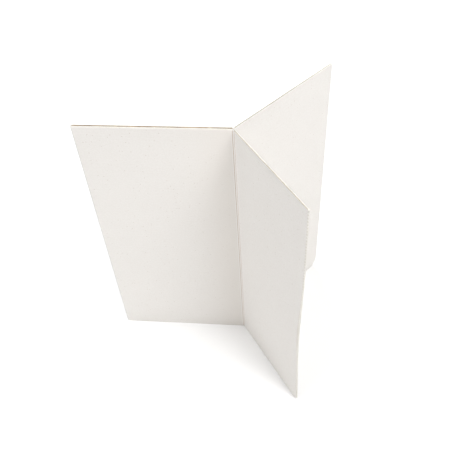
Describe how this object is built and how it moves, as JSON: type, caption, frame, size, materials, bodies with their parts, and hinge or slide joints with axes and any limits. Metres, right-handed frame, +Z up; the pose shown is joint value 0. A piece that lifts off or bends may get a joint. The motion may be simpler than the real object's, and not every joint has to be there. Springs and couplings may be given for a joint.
{
  "type": "folding magazine divider stand",
  "caption": "Free-standing Y-shaped folding divider of white-lined corrugated board: upright leaves fold on vertical creases and hold magazines or files in the bays between them.",
  "frame": {"origin": "centre of the whole object's plan box, on the floor it stands on", "axes": "+Z up along the leaves' height; the glued left leaf runs along -X from the spine, the front leaf reaches to -Y and the rear leaf to +Y"},
  "size_m": [0.2112, 0.1772, 0.28],
  "materials": {
    "outer_liner": "matte white uncoated paper",
    "inner_liner": "matte white uncoated paper",
    "fluting": "matte kraft paper",
    "glue": "dried paper glue"
  },
  "bodies": {
    "left_leaf": {"left_outer_liner": "outer_liner", "left_inner_liner": "inner_liner", "glue_film": "glue", "left_front_medium": "fluting", "left_rear_medium": "fluting", "front_crease_wrap": "inner_liner", "front_crease_bead": "outer_liner", "rear_crease_wrap": "inner_liner", "rear_crease_bead": "outer_liner"},
    "front_leaf": {"front_leaf_outer_liner": "outer_liner", "front_leaf_inner_liner": "inner_liner", "front_leaf_medium": "fluting"},
    "rear_leaf": {"rear_leaf_outer_liner": "outer_liner", "rear_leaf_inner_liner": "inner_liner", "rear_leaf_medium": "fluting"}
  },
  "joints": [
    {"name": "front_leaf_fold", "type": "hinge", "parent": "left_leaf", "child": "front_leaf", "pos_m": [0.02636, -0.00447, 0], "axis": [0, 0, 1], "range_deg": [-122, 54.7], "deforming": ["front_crease_wrap", "front_crease_bead"]},
    {"name": "rear_leaf_fold", "type": "hinge", "parent": "left_leaf", "child": "rear_leaf", "pos_m": [0.02636, -0.00117, 0], "axis": [0, 0, 1], "range_deg": [-48.5, 128.5], "deforming": ["rear_crease_wrap", "rear_crease_bead"]}
  ]
}
